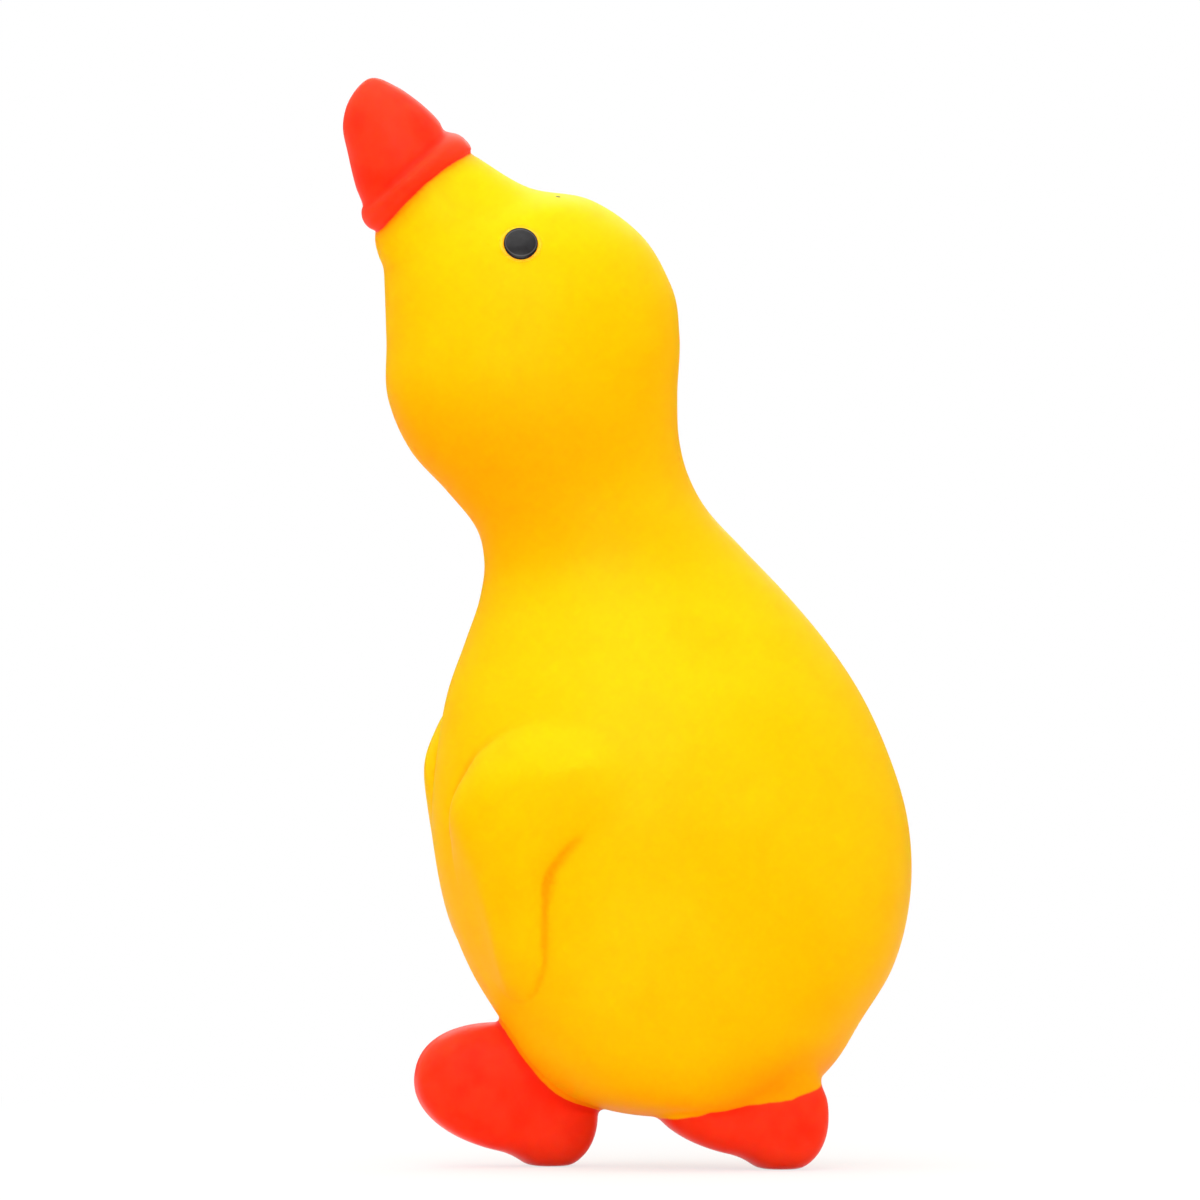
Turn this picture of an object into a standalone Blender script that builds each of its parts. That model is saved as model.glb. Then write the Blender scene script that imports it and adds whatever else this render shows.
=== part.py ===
"""A tall upright squeaky duck: one hollow moulding of soft vinyl, with a plastic squeaker in its underside.

Metres, +Z up. The duck looks along -Y, and +X is its own left side. The origin is on the floor, halfway
between the front of the beak and the tail. Distances ahead of the origin are called reach, so Y = -reach.
"""

import math
from collections import namedtuple

import bmesh
import bpy
import numpy as np
from mathutils import Matrix, Vector
from mathutils.bvhtree import BVHTree

# Wall of the moulding
WALL = 0.0024

# Body, from the lowest point of the belly up to the neck
BELLY_LEVEL = 0.0176
BODY_DEPTH = 0.1696
BODY_WIDTH = 0.134
BODY_REACH = -0.0052

# Neck
NECK_LEVEL = 0.216
NECK_REACH = 0.0053

# Head, from the neck up to the crown
HEAD_HEIGHT = 0.129
HEAD_DEPTH = 0.1034
HEAD_WIDTH = 0.0930

# Beak, from its painted edge on the head to its tip
BEAK_REACH = 0.0732
BEAK_LEVEL = 0.3439
BEAK_LENGTH = 0.0440
BEAK_WIDTH = 0.0430
BEAK_TILT = math.radians(64.4)
COLLAR_BOW = 0.0040

# Wings, raised lobes that fold round to the front of the belly
WING_RELIEF = 0.0085
WING_TIP_LEVEL = 0.0614
WING_LENGTH = 0.0976
WING_GIRTH = 0.070
WING_CRISP_RISE = 0.016
WING_SOFT_RISE = 0.020
WING_FADE = 0.006
WING_BLEND = 0.004
WING_GROOVE = 0.0012
WING_GROOVE_WIDTH = 0.007
RIGHT_WING_RISE = 0.013
RIGHT_WING_ADVANCE = math.radians(4)

# Feet: a round heel that stands on the floor, and a toe lobe that points forward and a little up
LEFT_STANCE = 0.025
RIGHT_STANCE = 0.018
LEFT_HEEL_REACH = -0.0492
RIGHT_HEEL_REACH = 0.0256
HEEL_LENGTH = 0.0340
HEEL_WIDTH = 0.0360
HEEL_HEIGHT = 0.0398
TOE_LEAD = 0.0080
TOE_LENGTH = 0.0395
TOE_ROOT = 0.0190
TOE_WIDTH = 0.0360
TOE_HEIGHT = 0.0460
TOE_LEVEL = 0.0268
TOE_TILT = math.radians(9.6)
SOLE_SINK = 0.0012
LOBE_POWER = 2.2
LOBE_SIDE_POWER = 3.2

# Eyes, low painted buttons
EYE_DIAMETER = 0.0120
EYE_RELIEF = 0.0005
EYE_REACH = 0.0450
EYE_LEVEL = 0.3256

# Squeaker, pressed into a socket in the underside
SQUEAKER_DIAMETER = 0.0150
SQUEAKER_HEIGHT = 0.0070
SQUEAKER_WALL = 0.0013
SQUEAKER_RIB = 0.0006
SQUEAKER_RECESS = 0.0006
SQUEAKER_CLEARANCE = 0.0003
AIR_HOLE = 0.0030

# Fineness of the surfaces
RING_STEP = 0.0018
SIDES = 200
HOLLOW_STEP = 0.0050
HOLLOW_SIDES = 48
LOBE_SIDES = 24
HOLLOW_LOBE_SIDES = 16
KEPT_FACES = 0.044
KEPT_HOLLOW_FACES = 0.17

Section = namedtuple("Section", "front back width bow", defaults=(0,))


def body_sections():
    """Level sections of the body: reach of the front and of the back, and height, each as a share."""
    rows = (
        (0.014, 0.078, 0.014, -0.241, 0.600),
        (0.043, 0.165, 0.043, -0.331, 0.755),
        (0.098, 0.238, 0.098, -0.401, 0.855),
        (0.169, 0.291, 0.169, -0.454, 0.915),
        (0.261, 0.357, 0.261, -0.521, 0.957),
        (0.395, 0.416, 0.395, -0.561, 0.992),
        (0.528, 0.439, 0.528, -0.555, 1.000),
        (0.652, 0.428, 0.652, -0.511, 0.963),
        (0.755, 0.407, 0.755, -0.454, 0.884),
        (0.848, 0.369, 0.848, -0.380, 0.773),
        (0.922, 0.340, 0.933, -0.295, 0.673),
        (0.990, 0.331, 1.011, -0.207, 0.595),
    )
    height = NECK_LEVEL - BELLY_LEVEL
    for front_up, front, back_up, back, width in rows:
        yield Section(
            (BODY_REACH + front * BODY_DEPTH, BELLY_LEVEL + front_up * height),
            (BODY_REACH + back * BODY_DEPTH, BELLY_LEVEL + back_up * height),
            width * BODY_WIDTH,
        )


def head_sections():
    rows = (
        (0.470, 0.074, -0.323, 0.118, 0.831),
        (0.570, 0.173, -0.257, 0.211, 0.831),
        (0.691, 0.279, -0.223, 0.312, 0.895),
        (0.771, 0.421, -0.216, 0.435, 0.967),
        (0.778, 0.585, -0.223, 0.599, 0.999),
        (0.784, 0.722, -0.192, 0.738, 0.975),
        (0.789, 0.780, -0.091, 0.872, 0.879),
        (0.805, 0.812, 0.082, 0.965, 0.727),
        (0.817, 0.846, 0.303, 1.001, 0.591),
    )
    for front, front_up, back, back_up, width in rows:
        yield Section(
            (NECK_REACH + front * HEAD_DEPTH, NECK_LEVEL + front_up * HEAD_HEIGHT),
            (NECK_REACH + back * HEAD_DEPTH, NECK_LEVEL + back_up * HEAD_HEIGHT),
            width * HEAD_WIDTH,
        )


def beak_section(front_along, front, back_along, back, width, bow):
    """A section across the beak. Its bow is how far its sides lie nearer to the tip than its middle."""
    return Section(
        beak_point(front_along * BEAK_LENGTH, front * BEAK_WIDTH),
        beak_point(back_along * BEAK_LENGTH, back * BEAK_WIDTH),
        width * BEAK_WIDTH,
        bow * COLLAR_BOW,
    )


def painted_edge():
    """The section where the collar leaves the head and its paint ends."""
    return beak_section(-0.132, -0.489, 0.115, 0.482, 1.000, 1.0)


def beak_sections(collar):
    root = (-0.155, -0.504, 0.056, 0.520, 1.040, 1.0)
    bead = (
        (-0.079, -0.545, 0.145, 0.515, 1.082, 0.95),
        (-0.003, -0.573, 0.227, 0.509, 1.115, 0.70),
        (0.058, -0.552, 0.299, 0.461, 1.082, 0.40),
    )
    cone = (
        (0.091, -0.509, 0.348, 0.384, 0.935, 0.20),
        (0.256, -0.483, 0.452, 0.370, 0.918, 0.00),
        (0.523, -0.426, 0.563, 0.323, 0.853, 0.00),
        (0.754, -0.350, 0.720, 0.252, 0.689, 0.00),
        (0.899, -0.223, 0.845, 0.175, 0.475, 0.00),
    )
    yield beak_section(*root)
    yield painted_edge()
    for row in (*bead, *cone) if collar else cone:
        yield beak_section(*row)


def beak_point(along, across):
    """A point of the plane of symmetry, measured along the beak and across it towards the forehead."""
    return (
        BEAK_REACH + along * math.cos(BEAK_TILT) - across * math.sin(BEAK_TILT),
        BEAK_LEVEL + along * math.sin(BEAK_TILT) + across * math.cos(BEAK_TILT),
    )


def smooth_rows(stations, rows, at):
    """The rows read at other stations, along a curve that passes through each of them."""
    gaps = np.diff(stations)
    slopes = np.diff(rows, axis=0) / gaps[:, None]
    bends = (slopes[:-1] * gaps[1:, None] + slopes[1:] * gaps[:-1, None]) / (gaps[:-1] + gaps[1:])[:, None]
    bends = np.vstack([slopes[:1], bends, slopes[-1:]])
    i = np.clip(np.searchsorted(stations, at, side="right") - 1, 0, len(gaps) - 1)
    h = gaps[i][:, None]
    s = ((at - stations[i]) / gaps[i])[:, None]
    return (
        rows[i] * (1 + 2 * s) * (1 - s) ** 2
        + bends[i] * h * s * (1 - s) ** 2
        + rows[i + 1] * s * s * (3 - 2 * s)
        + bends[i + 1] * h * s * s * (s - 1)
    )


def skin_grid(step, sides, collar=True):
    """The two end points of the skin, at the belly and the beak, and the rings of points between them.

    Also the turn of each point round a ring, and which ring is the painted edge.
    """
    sections = [*body_sections(), *head_sections(), *beak_sections(collar)]
    rows = np.array([(*s.front, *s.back, s.width / 2, s.bow) for s in sections])
    belly = np.array([(rows[0, 0] + rows[0, 2]) / 2, BELLY_LEVEL])
    tip = np.array(beak_point(BEAK_LENGTH, 0))
    swapped = [2, 3, 0, 1, 4, 5]
    before = rows[0, swapped] * (1, 1, 1, 1, -1, 1)
    after = rows[-1, swapped] * (1, 1, 1, 1, -1, 1)
    rows = np.vstack([before, [*belly, *belly, 0, 0], rows, [*tip, *tip, 0, 0], after])
    strides = np.diff(rows, axis=0)
    lengths = (np.hypot(strides[:, 0], strides[:, 1]) + np.hypot(strides[:, 2], strides[:, 3])) / 2
    stations = np.concatenate([[0], np.cumsum(lengths)])
    edge_station = stations[2 + sections.index(painted_edge())]
    at = []
    for low, high in zip(stations[1:-2], stations[2:-1]):
        count = max(1, round((high - low) / step))
        at += list(np.linspace(low, high, count, endpoint=False))
    rings = smooth_rows(stations, rows, np.array(at[1:]))
    turn = np.linspace(-np.pi, np.pi, sides, endpoint=False)
    middle = (rings[:, 0:2] + rings[:, 2:4]) / 2
    half = (rings[:, 0:2] - rings[:, 2:4]) / 2
    grid = np.empty((len(rings), sides, 3))
    grid[:, :, 0] = rings[:, 4:5] * np.sin(turn)
    bow = rings[:, 5:6] * np.sin(turn) ** 2
    grid[:, :, 1] = -(middle[:, 0:1] + half[:, 0:1] * np.cos(turn) + bow * math.cos(BEAK_TILT))
    grid[:, :, 2] = middle[:, 1:2] + half[:, 1:2] * np.cos(turn) + bow * math.sin(BEAK_TILT)
    ends = np.array([(0, -belly[0], belly[1]), (0, -tip[0], tip[1])])
    return ends, grid, turn, at.index(edge_station) - 1


def grid_normals(ends, grid):
    """The outward direction at each point of the rings."""
    first = np.broadcast_to(ends[0], grid[:1].shape)
    last = np.broadcast_to(ends[1], grid[:1].shape)
    along = np.concatenate([grid[1:], last]) - np.concatenate([first, grid[:-1]])
    around = np.roll(grid, -1, axis=1) - np.roll(grid, 1, axis=1)
    outward = np.cross(around, along)
    return outward / np.linalg.norm(outward, axis=2, keepdims=True)


def wing_outline():
    """The edge of the left wing: turn from the breast in degrees, share of its length up from its tip,
    how crisp the edge is and how high the lobe stands inside it."""
    rows = np.array(
        (
            (15.0, 0.52, 0.5, 0.40),
            (15.5, 0.62, 1.0, 0.80),
            (18.0, 0.73, 1.0, 1.00),
            (23.0, 0.82, 1.0, 1.00),
            (30.0, 0.91, 0.8, 1.00),
            (43.0, 0.98, 0.3, 0.90),
            (56.0, 0.98, 0.0, 0.80),
            (66.0, 0.92, 0.0, 0.80),
            (70.0, 0.84, 0.0, 0.80),
            (68.0, 0.74, 0.0, 0.80),
            (63.0, 0.63, 0.2, 0.80),
            (55.0, 0.53, 0.7, 0.85),
            (50.0, 0.43, 1.0, 0.85),
            (47.0, 0.32, 1.0, 0.80),
            (45.0, 0.20, 1.0, 0.75),
            (42.5, 0.10, 1.0, 0.65),
            (37.0, 0.02, 1.0, 0.50),
            (27.0, -0.02, 0.9, 0.40),
            (19.0, 0.00, 0.6, 0.30),
            (15.0, 0.12, 0.0, 0.20),
            (15.0, 0.32, 0.0, 0.20),
        )
    )
    count = len(rows)
    looped = np.vstack([rows[-1:], rows, rows[:2]])
    at = np.linspace(1, count + 1, 12 * count, endpoint=False)
    edge = smooth_rows(np.arange(len(looped), dtype=float), looped, at)
    edge[:, 0] = np.radians(edge[:, 0]) * WING_GIRTH
    edge[:, 1] = WING_TIP_LEVEL + edge[:, 1] * WING_LENGTH
    return edge


def smooth_step(value):
    value = np.clip(value, 0, 1)
    return value * value * (3 - 2 * value)


def wing_relief(turn, level, setback=0.0):
    """How far the wings stand out of the skin. A setback moves their edges inwards."""
    edge = wing_outline()
    follow = np.roll(edge, -1, axis=0)
    x0, z0, x1, z1 = edge[:, 0], edge[:, 1], follow[:, 0], follow[:, 1]
    px = np.where(turn < 0, RIGHT_WING_ADVANCE - turn, turn).ravel()[:, None] * WING_GIRTH
    pz = np.where(turn < 0, level - RIGHT_WING_RISE, level).ravel()[:, None]
    share = np.clip(
        ((px - x0) * (x1 - x0) + (pz - z0) * (z1 - z0)) / ((x1 - x0) ** 2 + (z1 - z0) ** 2), 0, 1
    )
    away = np.hypot(px - x0 - share * (x1 - x0), pz - z0 - share * (z1 - z0))
    distance = away.min(axis=1)
    crossings = ((z0 > pz) != (z1 > pz)) & (px < x0 + (pz - z0) * (x1 - x0) / np.where(z1 == z0, 1, z1 - z0))
    inside = np.where(crossings.sum(axis=1) % 2 == 1, distance, -distance)
    nearness = 1 / (away**2 + WING_BLEND**2) ** 2
    crisp, height = (nearness @ edge[:, 2:] / nearness.sum(axis=1, keepdims=True)).T
    groove = WING_GROOVE * crisp * height * (1 - smooth_step(distance / WING_GROOVE_WIDTH))
    steep = np.clip((inside - setback) / WING_CRISP_RISE, 0, 1)
    round_edge = np.sqrt(1 - (1 - steep) ** 2)
    soft_edge = smooth_step((inside - setback + WING_FADE) / (WING_SOFT_RISE + WING_FADE))
    relief = WING_RELIEF * height * (crisp * round_edge + (1 - crisp) * soft_edge) - groove
    return relief.reshape(level.shape)


def fewer_faces(piece, kept, fixed=()):
    """Thins the mesh out where it is nearly flat, but leaves the points of the fixed edge in place."""
    group = piece.vertex_groups.new(name="fixed_edge")
    group.add(list(fixed), 1, "REPLACE")
    step = piece.modifiers.new("fewer_faces", "DECIMATE")
    step.ratio = kept
    step.vertex_group = group.name
    step.invert_vertex_group = True
    step.vertex_group_factor = 100


def mesh_of_rings(name, ends, grid):
    rings, sides = grid.shape[:2]
    points = np.vstack([grid.reshape(-1, 3), ends])
    low_end, high_end = len(points) - 2, len(points) - 1
    faces = []
    for k in range(sides):
        n = (k + 1) % sides
        faces.append((low_end, n, k))
        for r in range(rings - 1):
            faces.append((r * sides + k, r * sides + n, (r + 1) * sides + n, (r + 1) * sides + k))
        faces.append((high_end, (rings - 1) * sides + k, (rings - 1) * sides + n))
    mesh = bpy.data.meshes.new(name)
    mesh.from_pydata(points.tolist(), [], faces)
    mesh.shade_smooth()
    return mesh


def material(name, colour, roughness):
    made = bpy.data.materials.new(name)
    made.use_nodes = True
    shader = made.node_tree.nodes["Principled BSDF"]
    shader.inputs["Base Color"].default_value = (*colour, 1)
    shader.inputs["Roughness"].default_value = roughness
    shader.inputs["Metallic"].default_value = 0
    made.diffuse_color = (*colour, 1)
    return made


def new_object(name, mesh, paint, cutter=False):
    piece = bpy.data.objects.new(name, mesh)
    bpy.context.scene.collection.objects.link(piece)
    mesh.materials.append(paint)
    if cutter:
        piece.hide_render = True
        piece.display_type = "WIRE"
    return piece


def combine(piece, tool, operation):
    step = piece.modifiers.new(tool.name, "BOOLEAN")
    step.operation = operation
    step.solver = "MANIFOLD"
    step.object = tool
    step.material_mode = "TRANSFER"


def lobe(name, middle, front, back, width, height, tilt, paint, inset):
    """A rounded lump, longer or shorter ahead of its widest section than behind it."""
    sides = HOLLOW_LOBE_SIDES if inset else LOBE_SIDES
    bm = bmesh.new()
    bmesh.ops.create_uvsphere(bm, u_segments=sides, v_segments=sides * 2 // 3, radius=1)
    for vert in bm.verts:
        x, y, z = (abs(c) for c in vert.co)
        upright = (y**LOBE_POWER + z**LOBE_POWER) ** (1 / LOBE_POWER)
        size = (x**LOBE_SIDE_POWER + upright**LOBE_SIDE_POWER) ** (-1 / LOBE_SIDE_POWER)
        x, y, z = vert.co * size
        length = (front if y < 0 else back) - inset
        vert.co = (x * (width / 2 - inset), y * length, z * (height / 2 - inset))
    bmesh.ops.transform(
        bm, matrix=Matrix.Translation(middle) @ Matrix.Rotation(-tilt, 4, "X"), verts=bm.verts
    )
    mesh = bpy.data.meshes.new(name)
    bm.to_mesh(mesh)
    bm.free()
    mesh.shade_smooth()
    return new_object(name, mesh, paint, cutter=True)


def foot_lobes(name, across, heel_reach, paint, inset):
    heel_middle = Vector((across, -heel_reach, HEEL_HEIGHT / 2 - SOLE_SINK))
    toe_middle = Vector((across, -(heel_reach + TOE_LEAD), TOE_LEVEL))
    heel_half = HEEL_LENGTH / 2
    return (
        lobe(f"{name}_heel", heel_middle, heel_half, heel_half, HEEL_WIDTH, HEEL_HEIGHT, 0, paint, inset),
        lobe(
            f"{name}_toe", toe_middle, TOE_LENGTH, TOE_ROOT, TOE_WIDTH, TOE_HEIGHT, TOE_TILT, paint, inset
        ),
    )


def both_feet(prefix, paint, inset=0.0):
    return (
        *foot_lobes(f"{prefix}left", LEFT_STANCE, LEFT_HEEL_REACH, paint, inset),
        *foot_lobes(f"{prefix}right", -RIGHT_STANCE, RIGHT_HEEL_REACH, paint, inset),
    )


def eye_button(name, side, skin, paint):
    points = [v.co for v in skin.vertices]
    tree = BVHTree.FromPolygons(points, [tuple(p.vertices) for p in skin.polygons])
    place, outward, _, _ = tree.ray_cast(
        Vector((side * HEAD_WIDTH, -EYE_REACH, EYE_LEVEL)), Vector((-side, 0, 0))
    )
    bm = bmesh.new()
    bmesh.ops.create_cone(
        bm,
        cap_ends=True,
        segments=32,
        radius1=EYE_DIAMETER / 2,
        radius2=EYE_DIAMETER / 2,
        depth=WALL,
        matrix=Matrix.Translation((0, 0, EYE_RELIEF - WALL / 2)),
    )
    turned = outward.to_track_quat("Z", "Y").to_matrix().to_4x4()
    bmesh.ops.transform(bm, matrix=Matrix.Translation(place) @ turned, verts=bm.verts)
    mesh = bpy.data.meshes.new(name)
    bm.to_mesh(mesh)
    bm.free()
    return new_object(name, mesh, paint, cutter=True)


def turned_mesh(name, profile, reach, level, sides=48):
    """A solid of revolution on an upright axis. A profile is a loop, or starts and ends on the axis."""
    bm = bmesh.new()
    rings = []
    for radius, height in profile:
        count = sides if radius > 0 else 1
        rings.append(
            [
                bm.verts.new(
                    (
                        radius * math.cos(2 * math.pi * k / sides),
                        radius * math.sin(2 * math.pi * k / sides) - reach,
                        height + level,
                    )
                )
                for k in range(count)
            ]
        )
    if len(rings[0]) > 1:
        rings.append(rings[0])
    for low, high in zip(rings, rings[1:]):
        for k in range(sides):
            n = (k + 1) % sides
            corners = [low[k % len(low)], low[n % len(low)], high[n % len(high)], high[k % len(high)]]
            bm.faces.new(list(dict.fromkeys(corners)))
    bmesh.ops.recalc_face_normals(bm, faces=bm.faces)
    mesh = bpy.data.meshes.new(name)
    bm.to_mesh(mesh)
    bm.free()
    mesh.shade_smooth()
    mesh.set_sharp_from_angle(angle=math.radians(30))
    return mesh


def squeaker_side(clearance):
    """The squeaker's outer side, upwards, with the rib that holds it in its socket."""
    radius = SQUEAKER_DIAMETER / 2 + clearance
    middle = SQUEAKER_HEIGHT / 2
    return (
        (radius, middle - 2 * SQUEAKER_RIB),
        (radius + SQUEAKER_RIB, middle),
        (radius, middle + 2 * SQUEAKER_RIB),
    )


def squeaker_reach():
    ends, _, _, _ = skin_grid(HOLLOW_STEP, HOLLOW_SIDES)
    return -ends[0][1]


def make_squeaker(reach):
    radius = SQUEAKER_DIAMETER / 2
    bore = AIR_HOLE / 2
    cup = radius - SQUEAKER_WALL
    profile = (
        (bore, 0),
        (radius, 0),
        *squeaker_side(0),
        (radius, SQUEAKER_HEIGHT),
        (cup, SQUEAKER_HEIGHT),
        (cup, SQUEAKER_WALL),
        (bore, SQUEAKER_WALL),
    )
    mesh = turned_mesh("squeaker", profile, reach, BELLY_LEVEL + SQUEAKER_RECESS)
    return new_object("squeaker", mesh, material("squeaker_plastic", (0.80, 0.80, 0.78), 0.4))


def socket_cutter(reach, paint):
    radius = SQUEAKER_DIAMETER / 2 + SQUEAKER_CLEARANCE
    profile = (
        (0, -WALL - SQUEAKER_RECESS),
        (radius, -WALL - SQUEAKER_RECESS),
        *squeaker_side(SQUEAKER_CLEARANCE),
        (radius, SQUEAKER_HEIGHT + WALL),
        (0, SQUEAKER_HEIGHT + WALL),
    )
    mesh = turned_mesh("socket", profile, reach, BELLY_LEVEL + SQUEAKER_RECESS)
    return new_object("socket", mesh, paint, cutter=True)


def socket_boss(reach, paint):
    """The thick tube of vinyl round the socket, which the hollow leaves standing."""
    radius = SQUEAKER_DIAMETER / 2 + SQUEAKER_CLEARANCE + SQUEAKER_RIB + WALL
    top = SQUEAKER_HEIGHT + SQUEAKER_RECESS
    mesh = turned_mesh("boss", ((0, -WALL), (radius, -WALL), (radius, top), (0, top)), reach, BELLY_LEVEL)
    return new_object("boss", mesh, paint, cutter=True)


def hollow_cutter(reach, paint):
    ends, grid, turn, _ = skin_grid(HOLLOW_STEP, HOLLOW_SIDES, collar=False)
    level = grid[:, :, 2]
    rise = wing_relief(np.broadcast_to(turn, level.shape), level, setback=2 * WALL) - WALL
    grid = grid + grid_normals(ends, grid) * rise[:, :, None]
    along_beak = np.array((0, -math.cos(BEAK_TILT), math.sin(BEAK_TILT)))
    ends = ends + np.array(((0, 0, WALL), -WALL * along_beak))
    hollow = new_object("hollow", mesh_of_rings("hollow", ends, grid), paint, cutter=True)
    fewer_faces(hollow, KEPT_HOLLOW_FACES)
    for inner in both_feet("hollow_", paint, inset=WALL):
        combine(hollow, inner, "UNION")
    combine(hollow, socket_boss(reach, paint), "DIFFERENCE")
    return hollow


def floor_slab(paint):
    """What is below the floor, which makes the soles flat."""
    bm = bmesh.new()
    bmesh.ops.create_cube(bm, size=1)
    depth = 4 * SOLE_SINK
    size = Matrix.Diagonal((2 * BODY_WIDTH, 2 * BODY_DEPTH, depth, 1))
    bmesh.ops.transform(bm, matrix=Matrix.Translation((0, 0, -depth / 2)) @ size, verts=bm.verts)
    mesh = bpy.data.meshes.new("floor")
    bm.to_mesh(mesh)
    bm.free()
    return new_object("floor", mesh, paint, cutter=True)


def make_body(reach):
    yellow = material("yellow_vinyl", (1.0, 0.62, 0.0), 0.35)
    red = material("red_paint", (1.0, 0.045, 0.015), 0.35)
    black = material("eye_paint", (0.04, 0.04, 0.045), 0.25)
    ends, grid, turn, edge_ring = skin_grid(RING_STEP, SIDES)
    level = grid[:, :, 2]
    relief = wing_relief(np.broadcast_to(turn, level.shape), level)
    grid = grid + grid_normals(ends, grid) * relief[:, :, None]
    mesh = mesh_of_rings("body", ends, grid)
    body = new_object("body", mesh, yellow)
    mesh.materials.append(red)
    on_edge = range(edge_ring * SIDES, (edge_ring + 1) * SIDES)
    for face in mesh.polygons:
        face.material_index = int(max(face.vertices) > on_edge[-1])
    fewer_faces(body, KEPT_FACES, on_edge)
    eyes = [eye_button("left_eye", 1, mesh, black), eye_button("right_eye", -1, mesh, black)]
    for piece in both_feet("", red):
        combine(body, piece, "UNION")
    combine(body, floor_slab(red), "DIFFERENCE")
    for eye in eyes:
        combine(body, eye, "UNION")
    combine(body, hollow_cutter(reach, yellow), "DIFFERENCE")
    combine(body, socket_cutter(reach, yellow), "DIFFERENCE")
    return body


def main():
    for old in list(bpy.data.objects):
        bpy.data.objects.remove(old)
    reach = squeaker_reach()
    make_body(reach)
    make_squeaker(reach)


main()
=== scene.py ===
"""A tall upright squeaky duck of soft yellow vinyl, with a painted beak, feet and eyes, on a pale floor."""

import math

import bmesh
import bpy
import numpy as np
from mathutils import Matrix, Vector
from mathutils.bvhtree import BVHTree


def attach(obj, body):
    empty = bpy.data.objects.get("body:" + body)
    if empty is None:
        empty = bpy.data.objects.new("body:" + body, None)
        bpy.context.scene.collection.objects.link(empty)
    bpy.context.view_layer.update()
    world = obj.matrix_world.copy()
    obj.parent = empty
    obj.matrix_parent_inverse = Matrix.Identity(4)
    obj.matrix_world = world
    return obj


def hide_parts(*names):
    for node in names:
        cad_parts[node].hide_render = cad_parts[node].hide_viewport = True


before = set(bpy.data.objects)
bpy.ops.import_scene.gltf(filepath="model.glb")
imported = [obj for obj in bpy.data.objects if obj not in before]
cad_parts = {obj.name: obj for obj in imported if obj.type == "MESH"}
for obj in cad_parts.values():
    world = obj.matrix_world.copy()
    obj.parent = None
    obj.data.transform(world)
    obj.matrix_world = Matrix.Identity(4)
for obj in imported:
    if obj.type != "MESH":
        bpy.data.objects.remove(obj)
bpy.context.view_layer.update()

# Lengths are in metres. The duck looks along -Y, and +X is its left side. Reach is measured forwards
# from the frame's origin, and level upwards from the floor.

# The photograph's camera, which sees the duck's left side
PIXELS = 1200
PIXEL = 0.3525e-3
CAMERA_TURN = math.radians(80)
CAMERA_RISE = math.radians(0.8)
CAMERA_DISTANCE = 8.0
CAMERA_SIGHT = 100.0
ORIGIN_PIXEL = (628, 1167)
SENSOR = 36.0

# Body, head and beak
BELLY_LEVEL = 0.0176
BODY_DEPTH = 0.1696
BODY_WIDTH = 0.134
BODY_REACH = -0.0052
NECK_LEVEL = 0.216
NECK_REACH = 0.0053
HEAD_HEIGHT = 0.129
HEAD_DEPTH = 0.1034
HEAD_WIDTH = 0.0930
BEAK_REACH = 0.0732
BEAK_LEVEL = 0.3439
BEAK_LENGTH = 0.0440
BEAK_WIDTH = 0.0430
BEAK_TILT = math.radians(64.4)
COLLAR_BOW = 0.0040

# Wings
WING_RELIEF = 0.0085
WING_TIP_LEVEL = 0.0614
WING_LENGTH = 0.0976
WING_GIRTH = 0.070
WING_CRISP_RISE = 0.016
WING_SOFT_RISE = 0.020
WING_FADE = 0.006
WING_BLEND = 0.004
WING_GROOVE = 0.0012
WING_GROOVE_WIDTH = 0.007
RIGHT_WING_RISE = 0.0155
RIGHT_WING_ADVANCE = math.radians(4)

# Feet. Heel and toe are two rounded lobes, and the floor takes a little off the heel.
LEFT_STANCE = 0.025
RIGHT_STANCE = 0.018
LEFT_HEEL_REACH = -0.0492
RIGHT_HEEL_REACH = 0.0256
HEEL_LENGTH = 0.0340
HEEL_WIDTH = 0.0360
HEEL_HEIGHT = 0.0398
TOE_LEAD = 0.0080
TOE_LENGTH = 0.0395
TOE_ROOT = 0.0190
TOE_WIDTH = 0.0360
TOE_HEIGHT = 0.0460
TOE_LEVEL = 0.0268
TOE_TILT = math.radians(9.6)
SOLE_SINK = 0.0012
LOBE_POWER = 2.2
LOBE_SIDE_POWER = 3.2
FEET_TOP = 0.08

# Creases. The left leg has a wider one, above LEG_LEVEL and behind LEG_BACK.
CREASE = 0.0030
CREASE_START = 0.3
CREASE_ROUNDS = 12
LEG_CREASE = 0.0100
LEG_LEVEL = 0.016
LEG_LEVEL_FADE = 0.008
LEG_BACK = 0.038
LEG_BACK_FADE = 0.012
NOTCH = 0.0060

# Eyes. The profile runs from the middle to below the skin: share of the radius, share of the relief.
EYE_DIAMETER = 0.0120
EYE_RELIEF = 0.0005
EYE_TALL = 1.09
EYE_REACH = 0.0450
EYE_LEVEL = 0.3256
EYE_LIFT = 0.01
EYE_PROFILE = (
    (0.0, 1.80),
    (0.30, 1.74),
    (0.60, 1.54),
    (0.80, 1.32),
    (0.90, 1.17),
    (0.95, 1.02),
    (0.98, 0.75),
    (1.0, 0.30),
    (1.0, -1.2),
)

# Socket that the squeaker sits in
SOCKET_CLEARANCE = 0.0003
SOCKET_DEPTH_BELOW = 0.003
SOCKET_EDGE = math.radians(60)
SQUEAKER_RIB = 0.0006

# A speck of dirt on the crown
SPECK_REACH = 0.0275
SPECK_LEVEL = 0.3419
SPECK_EDGE = (0.0014, 0.0011)
SPECK_RAGGED = 0.0006

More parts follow.
